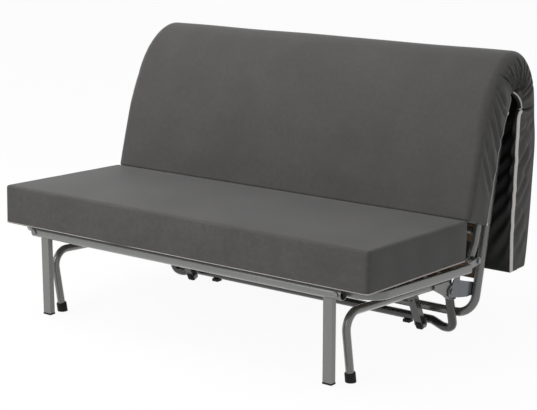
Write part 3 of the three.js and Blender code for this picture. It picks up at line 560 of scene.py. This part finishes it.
def cover_mesh(name, points, faces, sides, uvs):
    """A slab's cover: cloth on five sides and, under it, the black lining, which is painted shade
    where the inner face shows.
    """
    mesh = bpy.data.meshes.new(name)
    mesh.from_pydata([tuple(p) for p in points], [], faces)
    mesh.materials.append(charcoal)
    mesh.materials.append(lining_and_shade)
    mesh.polygons.foreach_set("material_index", [int(side == "under") for side in sides])
    mesh.polygons.foreach_set("use_smooth", [True] * len(faces))
    layer = mesh.uv_layers.new(name="cloth")
    loops = np.empty(len(mesh.loops), np.int32)
    mesh.loops.foreach_get("vertex_index", loops)
    side_of_loop = np.repeat(np.array(sides), 4)
    flat = np.empty((len(loops), 2))
    for kind, (a, b) in uvs.items():
        pick = side_of_loop == kind
        flat[pick, 0] = a[loops[pick]]
        flat[pick, 1] = b[loops[pick]]
    layer.data.foreach_set("uv", flat.ravel())
    mesh.validate()
    piece = bpy.data.objects.new(name, mesh)
    scene.collection.objects.link(piece)
    return piece


def side_uvs(x, y, z):
    return {"under": (x, y), "top": (x, y), "front": (x, z), "rear": (x, z),
            "left": (y, z), "right": (y, z)}


def to_row(side_points):
    """Moves (x, y, z), with y from the mattress's front face, into the frame."""
    moved = np.array(side_points, float)
    moved[:, 1] -= MIDDLE
    return moved


def waves(x, y, count, lengths, amplitude, seed):
    """A few long soft swells, the same each run."""
    local = np.random.default_rng(seed)
    total = np.zeros_like(x)
    for _ in range(count):
        angle = local.uniform(0, math.pi)
        length = local.uniform(*lengths)
        phase = local.uniform(0, 2 * math.pi)
        across = x * math.cos(angle) + y * math.sin(angle)
        total += np.sin(across * 2 * math.pi / length + phase)
    return total * amplitude / math.sqrt(count)


def line_distance(y, z, line):
    """Each point's distance from a polyline, and the share of its length where it is nearest."""
    line = np.array(line, float)
    lengths = np.linalg.norm(np.diff(line, axis=0), axis=1)
    before = np.concatenate([[0], np.cumsum(lengths)])
    best = np.full(y.shape, np.inf)
    share = np.zeros_like(y)
    for a, b, length, start in zip(line, line[1:], lengths, before):
        direction = (b - a) / length
        along = np.clip((y - a[0]) * direction[0] + (z - a[1]) * direction[1], 0, length)
        distance = np.hypot(y - a[0] - along * direction[0], z - a[1] - along * direction[1])
        nearer = distance < best
        best = np.where(nearer, distance, best)
        share = np.where(nearer, (start + along) / before[-1], share)
    return best, share


# Seat slab

SEAT_LONG = 0.531
SEAT_THICK = 0.125
SEAT_DECK = 0.300
SEAT_CORNER = 0.011
SIDE_BOW = 0.0035


def seat_cover():
    us = cluster(150, 0.75, 2.2) * WIDE - WIDE / 2
    vs = cluster(74, 0.7, 2.0) * SEAT_LONG
    ws = cluster(24, 0.75, 1.7) * SEAT_THICK
    p, faces, sides = box_grid(us, vs, ws)
    x0, y0, z0 = p.T.copy()
    edge = np.where(z0 < SEAT_THICK / 2, 0.005, 0.0075)
    corner = SEAT_CORNER + 0 * edge
    q = round_box(p, (WIDE, SEAT_LONG, SEAT_THICK), (corner, corner, edge))
    u = x0 / (WIDE / 2)
    v = 2 * y0 / SEAT_LONG - 1
    w = z0 / SEAT_THICK
    # foam crowns the top a little, and the sides bow between the corners
    q[:, 2] += 0.0045 * (1 - u ** 6) * (1 - v ** 6) * w ** 2
    q[:, 2] += waves(x0, y0, 6, (0.28, 0.6), 0.0009, 3) * (1 - u ** 6) * (1 - v ** 6) * w ** 2
    bow = np.sin(np.pi * np.clip(w, 0, 1))
    front = smooth((0.05 - y0) / 0.05) * (1 - u ** 10)
    q[:, 1] += (-0.0022 * bow + waves(x0, z0, 5, (0.2, 0.5), 0.0006, 5)) * front
    side = smooth((np.abs(x0) - WIDE / 2 + 0.05) / 0.05)
    swell = SIDE_BOW * bow + waves(y0, z0, 5, (0.12, 0.3), 0.0006, 11)
    q[:, 0] += np.sign(x0) * side * swell * (1 - v ** 10)
    # the underside is flat where it lies on the slats
    q[:, 2] = np.maximum(q[:, 2], 0)
    c, s = math.cos(RAKE), math.sin(RAKE)
    raked = [q[:, 0], q[:, 1] * c + q[:, 2] * s, SEAT_DECK - q[:, 1] * s + q[:, 2] * c]
    piece = cover_mesh("seat_cover", to_row(np.stack(raked, 1)), faces, sides,
                       side_uvs(x0, y0, z0))
    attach(piece, "seat_frame")
    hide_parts("seat_mattress")


seat_cover()


# Back slab, the fold over the top, and the panel behind: one long slab bent over

# Each pair: the inner face (y, z) at the sides, and the outer face (y, z)

PAIRS = [
    ((0.6470, 0.3709), (0.5333, 0.4024)), ((0.6608, 0.4240), (0.5482, 0.4554)),
    ((0.6762, 0.4790), (0.5640, 0.5110)), ((0.6918, 0.5340), (0.5800, 0.5660)),
    ((0.7078, 0.5880), (0.5960, 0.6210)), ((0.7240, 0.6350), (0.6115, 0.6700)),
    ((0.7400, 0.6720), (0.6290, 0.7150)), ((0.7560, 0.7020), (0.6520, 0.7610)),
    ((0.7700, 0.7220), (0.6830, 0.8050)), ((0.7830, 0.7380), (0.7200, 0.8400)),
    ((0.7930, 0.7480), (0.7620, 0.8670)), ((0.8010, 0.7530), (0.8080, 0.8800)),
    ((0.8090, 0.7500), (0.8480, 0.8740)), ((0.8180, 0.7420), (0.8820, 0.8500)),
    ((0.8270, 0.7300), (0.9120, 0.8110)), ((0.8350, 0.7150), (0.9310, 0.7640)),
    ((0.8300, 0.6960), (0.9390, 0.7150)), ((0.8190, 0.6790), (0.9420, 0.6700)),
    ((0.8130, 0.6200), (0.9430, 0.6150)), ((0.8110, 0.5400), (0.9400, 0.5400)),
    ((0.8070, 0.4600), (0.9340, 0.4600)), ((0.8030, 0.3800), (0.9280, 0.3800)),
    ((0.8010, 0.3100), (0.9210, 0.3100)), ((0.8040, 0.2400), (0.9120, 0.2400)),
    ((0.8070, 0.1880), (0.9030, 0.1880)),
]


def bent_rows():
    rows = []
    place = 0.0
    for i, pair in enumerate(PAIRS):
        here = np.array(pair)
        if i:
            place += np.linalg.norm(here - np.array(PAIRS[i - 1]), axis=1).mean()
        rows.append((place, *here[0], *here[1]))
    return np.array(rows)


ROWS = bent_rows()
LONG = ROWS[-1, 0]
FOLD_FROM = ROWS[5, 0]
FOLD_TO = ROWS[17, 0]
APEX = np.array(PAIRS[11][0])
# Lengths along the slab: where the arch over the hinges begins, where the slab leaves the back's
# slats, where the back's zip ends, where the tape's narrow end, the panel and the tape begin
ARCH_FROM = ROWS[6, 0]
SLATS_END = ROWS[9, 0]
BACK_ZIP_END = ROWS[10, 0]
TAIL_FROM = ROWS[12, 0]
PANEL_FROM = ROWS[14, 0]
TAPE_FROM = ROWS[16, 0]
# The height to which the arch lifts the inner face
ARCH_TOP = 0.775


def inner_middle(place, edge):
    """The inner face between the frame's rails, from the inner face at the sides."""
    inner = edge.copy()
    y, z = edge.T
    back_plane = (BACK_PLANE - 0.0004 - OUT[1] * z) / OUT[0]
    slat_plane = (REAR_PLANE + 0.003 - REAR_OUT[1] * z) / REAR_OUT[0]
    back = place < SLATS_END
    panel = place > PANEL_FROM
    # the back lies on its slats, and the rear frame's slats press into the panel behind
    inner[back, 0] = np.minimum(y[back], back_plane[back])
    inner[panel, 0] = np.maximum(y[panel], slat_plane[panel])
    # between them it arches over the top hinges
    lift = smooth((place - ARCH_FROM) / 0.09) * smooth((FOLD_TO + 0.02 - place) / 0.09)
    rise = np.clip(ARCH_TOP - inner[:, 1], 0, 0.08)
    inner[:, 1] += rise * lift * (~panel | (z > 0.66))
    return inner


# Creases of the side cloth: each one's line in the side view, its depth and its half width
CREASES = [
    (((0.655, 0.818), (0.673, 0.799), (0.706, 0.755), (0.740, 0.712)), 0.0058, 0.0080),
    (((0.682, 0.836), (0.703, 0.825), (0.740, 0.802), (0.792, 0.762)), 0.0100, 0.0037),
    (((0.722, 0.836), (0.748, 0.812), (0.772, 0.786), (0.796, 0.760)), 0.0057, 0.0026),
    (((0.745, 0.848), (0.757, 0.828), (0.778, 0.798), (0.799, 0.762)), 0.0104, 0.0030),
    (((0.776, 0.858), (0.784, 0.838), (0.796, 0.806), (0.802, 0.768)), 0.0063, 0.0025),
    (((0.796, 0.872), (0.803, 0.858), (0.818, 0.833), (0.815, 0.809), (0.804, 0.768)),
     0.0109, 0.0031),
    (((0.850, 0.868), (0.846, 0.855), (0.838, 0.831), (0.836, 0.807), (0.816, 0.772)),
     0.0095, 0.0028),
    (((0.872, 0.846), (0.862, 0.826), (0.848, 0.796), (0.822, 0.768)), 0.0066, 0.0026),
    (((0.850, 0.798), (0.838, 0.788), (0.830, 0.771), (0.812, 0.758)), 0.0114, 0.0040),
    (((0.906, 0.840), (0.896, 0.829), (0.879, 0.805), (0.859, 0.781), (0.826, 0.757)),
     0.0100, 0.0036),
    (((0.926, 0.812), (0.905, 0.790), (0.880, 0.770), (0.840, 0.748)), 0.0061, 0.0033),
    (((0.936, 0.782), (0.927, 0.776), (0.896, 0.757), (0.871, 0.738), (0.842, 0.728)),
     0.0057, 0.0046),
    (((0.826, 0.702), (0.833, 0.701), (0.860, 0.697), (0.894, 0.699), (0.915, 0.708)),
     0.0100, 0.0029),
    (((0.668, 0.782), (0.690, 0.742), (0.712, 0.716), (0.742, 0.686)), 0.0048, 0.0064),
    (((0.630, 0.745), (0.643, 0.703), (0.671, 0.642), (0.704, 0.573)), 0.0046, 0.0089),
    (((0.655, 0.762), (0.676, 0.706), (0.702, 0.650), (0.724, 0.604)), 0.0044, 0.0076),
    (((0.603, 0.690), (0.618, 0.632), (0.650, 0.558), (0.684, 0.480)), 0.0048, 0.0093),
    (((0.580, 0.655), (0.592, 0.610), (0.631, 0.524), (0.664, 0.450)), 0.0036, 0.0093),
    (((0.640, 0.620), (0.664, 0.560), (0.690, 0.508)), 0.0027, 0.0068),
    (((0.824, 0.668), (0.862, 0.664), (0.918, 0.684)), 0.0032, 0.0085),
    (((0.820, 0.622), (0.846, 0.628), (0.884, 0.652)), 0.0048, 0.0093),
    (((0.820, 0.586), (0.858, 0.612), (0.922, 0.662)), 0.0034, 0.0115),
    (((0.818, 0.512), (0.842, 0.528), (0.896, 0.584)), 0.0050, 0.0102),
    (((0.856, 0.492), (0.884, 0.514), (0.922, 0.560)), 0.0027, 0.0093),
    (((0.812, 0.424), (0.846, 0.446), (0.884, 0.492)), 0.0046, 0.0106),
    (((0.810, 0.372), (0.868, 0.420), (0.912, 0.470)), 0.0029, 0.0119),
    (((0.808, 0.306), (0.840, 0.330), (0.880, 0.376)), 0.0042, 0.0106),
    (((0.820, 0.240), (0.850, 0.262), (0.896, 0.316)), 0.0027, 0.0110),
]


def crease_depth(y, z, lean):
    """How far the side cloth sinks or stands in the side view. lean sets the two sides apart."""
    total = np.zeros_like(y)
    shift_y = lean * 0.006 * np.sin(31 * z)
    shift_z = lean * 0.007 * np.sin(27 * y + 1)
    for line, depth, width in CREASES:
        distance, share = line_distance(y + shift_y, z + shift_z, line)
        q = distance / width
        pillow = 0.34 * np.exp(-((q - 2.2) / 1.3) ** 2)
        closing = 0.08 if math.dist(line[-1], APEX) < 0.05 else 0.22
        fade = smooth(share / 0.22 + 0.02) * smooth((1 - share) / closing + 0.02)
        total += depth * fade * (pillow - np.exp(-q ** 2))
    r = np.hypot(y - APEX[0], z - APEX[1])
    total -= 0.010 * np.exp(-(r / 0.018) ** 2) + 0.005 * np.exp(-(r / 0.05) ** 2)
    return np.maximum(total, -0.020)


def bend_slab(q):
    """Bends the straight slab's points (x, along, depth) to the side view's shape."""
    x, along, depth = q.T
    place = np.clip(along, 0, LONG)
    sections = catmull(ROWS, place)
    edge, outer = sections[:, :2], sections[:, 2:]
    inside = smooth((0.690 - np.abs(x)) / 0.030)[:, None]
    inner = edge * (1 - inside) + inner_middle(place, edge) * inside
    side = inner + (outer - inner) * (depth / THICK)[:, None]
    return np.stack([x, side[:, 0], side[:, 1]], 1)


def side_push(x_sign, along, depth, y, z):
    """How far the dressed side stands out from the plain slab's end."""
    ends = smooth(along / 0.06) * smooth((LONG - along) / 0.06)
    bow = np.sin(np.pi * np.clip(depth / THICK, 0, 1))
    creased = np.where(x_sign > 0, crease_depth(y, z, 0.0), crease_depth(y, z, 1.0))
    # a fine ripple lies over the creases, and all fade towards the outer face
    creased += 0.0007 * np.sin(2 * math.pi * (y * 11 + z * 7) + 3 * np.sin(21 * z)) * bow
    reach = np.where(creased > 0, 0.55, 0.72)
    creased *= 1 - 0.98 * smooth((depth / THICK - reach) / 0.26)
    creased *= np.where(x_sign > 0, 1.25, 0.70)
    return SIDE_BOW * bow * ends + creased * smooth(along / 0.03) * smooth((LONG - along) / 0.03)


def back_cover():
    us = cluster(170, 0.84, 2.3) * WIDE - WIDE / 2
    # rows stand closest at the two ends and over the fold
    end = 0.014
    parts = [np.linspace(0, end, 7), np.linspace(end, FOLD_FROM, 78)[1:],
             np.linspace(FOLD_FROM, FOLD_TO, 170)[1:],
             np.linspace(FOLD_TO, LONG - end, 130)[1:], np.linspace(LONG - end, LONG, 7)[1:]]
    vs = np.concatenate(parts)
    ws = cluster(48, 0.35, 1.6) * THICK
    p, faces, sides = box_grid(us, vs, ws)
    x0, y0, z0 = p.T.copy()
    ends = smooth(y0 / 0.1) * smooth((LONG - y0) / 0.1)
    fold = smooth((y0 - FOLD_FROM + 0.08) / 0.14) * smooth((FOLD_TO + 0.08 - y0) / 0.14)
    low = z0 < THICK / 2
    panel = smooth((y0 - FOLD_TO) / 0.12)
    across = np.where(low, 0.005, 0.018 + 0.018 * fold - 0.008 * panel)
    deep = np.where(low, 0.005, 0.016 + 0.014 * fold - 0.007 * panel)
    q = round_box(p, (WIDE, LONG, THICK), (across, 0.010 + 0 * across, deep))
    u = x0 / (WIDE / 2)
    w = z0 / THICK
    # crown of the front and rear outer faces
    swell = waves(x0, y0, 6, (0.3, 0.7), 0.0010, 21) * (1 - u ** 6)
    q[:, 2] += (0.005 * (1 - u ** 4) * (1 - fold) + swell) * ends * w ** 2
    bent = bend_slab(q)
    y, z = bent[:, 1], bent[:, 2]
    sign = np.sign(x0)
    side = smooth((np.abs(x0) - WIDE / 2 + 0.045) / 0.045)
    push = side_push(sign, y0, q[:, 2], y, z)
    bent[:, 0] += sign * side * push
    # a trace of the creases runs on over the fold's rounded edge
    reach = smooth((np.abs(x0) - WIDE / 2 + 0.075) / 0.06)
    away = np.stack([y - APEX[0], z - APEX[1]], 1)
    away /= np.maximum(np.linalg.norm(away, axis=1), 1e-6)[:, None]
    bent[:, 1:] += away * (np.clip(push, -0.006, 0.004) * fold * w ** 3 * reach * 0.05)[:, None]
    # slanting folds in the panel's inner face beside the frame, whose near-black lining there is
    # painted shade
    beside = smooth((np.abs(x0) - 0.600) / 0.030) * smooth((0.698 - np.abs(x0)) / 0.016)
    slack = beside * smooth((y0 - FOLD_TO) / 0.05)
    band = (z - 1.3 * np.abs(x0)) * 2 * math.pi / 0.070
    bent[:, 1] += 0.0060 * (np.sin(band + 1.6 * np.sin(13 * z)) - 0.6) * slack * ends * (1 - w) ** 4
    return cover_mesh("back_cover", to_row(bent), faces, sides, side_uvs(x0, y0, z0))


back = back_cover()


# Zips, their edgings and pulls

def new_piece(name, points, faces, material, uvs):
    mesh = bpy.data.meshes.new(name)
    mesh.from_pydata([tuple(p) for p in points], [], faces)
    mesh.materials.append(material)
    mesh.polygons.foreach_set("use_smooth", [True] * len(faces))
    layer = mesh.uv_layers.new(name="cloth")
    loops = np.empty(len(mesh.loops), np.int32)
    mesh.loops.foreach_get("vertex_index", loops)
    layer.data.foreach_set("uv", np.array(uvs)[loops].ravel())
    bm = bmesh.new()
    bm.from_mesh(mesh)
    bmesh.ops.recalc_face_normals(bm, faces=bm.faces)
    bm.to_mesh(mesh)
    bm.free()
    piece = bpy.data.objects.new(name, mesh)
    scene.collection.objects.link(piece)
    return piece


STRIP_PROFILE = [(-1.0, -0.5), (-0.9, 0.5), (-0.45, 0.95), (0.0, 0.8), (0.45, 0.95), (0.9, 0.5),
                 (1.0, -0.5)]


def strip(name, path, normals, half, lift, material):
    """A narrow raised tape along a path in the frame, closed at its foot and its two ends.
    half is its half width, one for all of the path or one for each point."""
    path = np.array(path)
    normals = np.array(normals, float)
    normals /= np.linalg.norm(normals, axis=1, keepdims=True)
    tangent = np.gradient(path, axis=0)
    tangent /= np.linalg.norm(tangent, axis=1, keepdims=True)
    across = np.cross(tangent, normals)
    across /= np.linalg.norm(across, axis=1, keepdims=True)
    steps = np.linalg.norm(np.diff(path, axis=0), axis=1)
    length = np.concatenate([[0], np.cumsum(steps)])
    points, faces, uvs = [], [], []
    n = len(STRIP_PROFILE)
    halves = np.broadcast_to(half, len(path))
    for p, a, m, l, wide in zip(path, across, normals, length, halves):
        for s, h in STRIP_PROFILE:
            points.append(p + a * wide * s + m * lift * h)
            uvs.append((l, wide * s))
    for i in range(len(path) - 1):
        for j in range(n):
            k, following = i * n + j, i * n + (j + 1) % n
            faces.append((k, following, following + n, k + n))
    last = (len(path) - 1) * n
    faces += [tuple(range(n)), tuple(range(last, last + n))]
    return new_piece(name, points, faces, material, uvs)


def side_point(sign, along, depth, stand=0.0):
    """A point of the dressed side, as back_cover leaves it, in the frame."""
    bent = bend_slab(np.array([[sign * WIDE / 2, along, depth]]))
    push = side_push(np.array([sign]), np.array([along]), np.array([depth]),
                     bent[:, 1], bent[:, 2])
    bent[:, 0] += sign * (push + stand)
    return to_row(bent)[0]


def panel_zip(name, sign):
    """The pale zip tape on the inner edge of the panel behind."""
    path, normals = [], []
    for along in np.linspace(TAPE_FROM - 0.006, LONG - 0.004, 170):
        path.append(side_point(sign, along, 0.0050))
        normals.append((sign, -0.55, 0))
    return strip(name, path, normals, 0.0060, 0.0016, zip_tape)


def zip_tail(name, sign):
    """The narrow end of the tape, which curls up into the fold."""
    path, normals = [], []
    for along in np.linspace(TAIL_FROM - 0.004, TAPE_FROM - 0.002, 60):
        path.append(side_point(sign, along, 0.0048, 0.0006))
        normals.append((sign, -0.45, -0.45))
    return strip(name, path, normals, 0.0021, 0.0011, zip_tape)


def back_piping(name, sign):
    """The thin closed zip on the rear edge of the back's side."""
    path = [side_point(sign, along, 0.0030) for along in np.linspace(0.006, BACK_ZIP_END, 150)]
    return strip(name, path, [(sign, 0.25, 0)] * len(path), 0.0015, 0.0012, piping)


def seat_corner(sign, angles):
    """Points and normals round a front corner of the seat slab."""
    for angle in angles[1:-1]:
        across, ahead = math.cos(angle), math.sin(angle)
        yield ((sign * (WIDE / 2 - SEAT_CORNER * (1 - across)), SEAT_CORNER * (1 - ahead)),
               (sign * across, -ahead))


def seat_piping():
    """The zip round the foot of the seat slab, just above its lower edge."""
    c, s = math.cos(RAKE), math.sin(RAKE)
    half = WIDE / 2
    height = 0.005
    bow = SIDE_BOW * math.sin(math.pi * height / SEAT_THICK)
    quarter = math.pi / 2
    side_run = np.linspace(SEAT_CORNER, SEAT_LONG - SEAT_CORNER, 40)
    front_run = np.linspace(-half + SEAT_CORNER, half - SEAT_CORNER, 90)
    runs = [((-half - bow, y), (-1, 0)) for y in side_run[::-1]]
    runs += seat_corner(-1, np.linspace(0, quarter, 8))
    runs += [((x, -0.0002), (0, -1)) for x in front_run]
    runs += seat_corner(1, np.linspace(quarter, 0, 8))
    runs += [((half + bow, y), (1, 0)) for y in side_run]
    path = [(x, y * c + height * s - MIDDLE, SEAT_DECK - y * s + height * c) for (x, y), _ in runs]
    normals = [(nx, ny * c, -ny * s) for _, (nx, ny) in runs]
    # pulled tight and narrow along the front, fuller along the sides
    halves = [0.0010 + 0.0013 * abs(nx) for _, (nx, ny) in runs]
    return strip("seat_zip", path, normals, halves, 0.0012, piping)


PULL_HANG = (0, -0.3, -1)
PULL_MIDDLE = 0.0047
# The pull's outline: the distance below the slider and the half width there
PULL_OUTLINE = [(0.0, 0.0013), (0.0015, 0.0022), (0.0035, 0.0014), (0.0065, 0.0021),
                (0.0085, 0.0016), (0.0095, 0.0006)]
# Its layers: how much of the outline each takes, and its height over the cloth
PULL_LAYERS = [(0.86, 0.0), (1.0, 0.0005), (1.0, 0.0014), (0.86, 0.0019)]


def zip_pull(name, place, sign):
    """A small moulded pull: a flat tongue with a waist and a rounded end."""
    place = np.array(place)
    down = np.array(PULL_HANG, float)
    down /= np.linalg.norm(down)
    outward = np.array((sign, 0, 0), float)
    across = np.cross(down, outward)
    rim = PULL_OUTLINE + [(a, -b) for a, b in PULL_OUTLINE[::-1]]
    points, uvs = [], []
    for share, rise in PULL_LAYERS:
        for a, b in rim:
            below = (a - PULL_MIDDLE) * share + PULL_MIDDLE
            points.append(place + down * below + across * b * share + outward * rise)
            uvs.append((a, b))
    n = len(rim)
    faces = [tuple(range(n)), tuple(range(3 * n, 4 * n))]
    for ring in range(3):
        for j in range(n):
            k, following = ring * n + j, ring * n + (j + 1) % n
            faces.append((k, following, following + n, k + n))
    return new_piece(name, points, faces, pull_plastic, uvs)


def pull_material():
    material, tree, shader = principled("zip_pull")
    place = coordinates(tree)
    fine = noise(tree, place, 420.0, 3.0, 0.6)
    color = ramp(tree, fine, [(0.3, (0.62, 0.61, 0.59)), (0.7, (0.76, 0.75, 0.73))])
    tree.links.new(color, shader.inputs["Base Color"])
    rough = ramp(tree, fine, grey(0.32, 0.46))
    tree.links.new(rough, shader.inputs["Roughness"])
    bump(tree, fine, 0.05, 0.0002, shader)
    return material


pull_plastic = pull_material()
seat_zip = seat_piping()
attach(seat_zip, "seat_frame")
SIDES = (("left", -1), ("right", 1))
EDGINGS = (("panel_zip", panel_zip), ("zip_tail", zip_tail), ("back_zip", back_piping))
edgings = [make_edging(f"{name}_{side}", sign) for name, make_edging in EDGINGS
           for side, sign in SIDES]
PULL_PLACES = (0.010, float(ROWS[7, 0]))
for side, sign in SIDES:
    for number, along in enumerate(PULL_PLACES, 1):
        place = side_point(sign, along, 0.0040, 0.0012)
        pull = zip_pull(f"zip_pull_{side}_{number}", place, sign)
        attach(pull, "back_mattress")

# The slab and its edgings are fixed where they stand in the frame, and the frame's own mattress
# parts are hidden
for piece in [back, *edgings]:
    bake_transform(piece)
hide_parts("back_mattress", "rear_mattress", "top_fold")
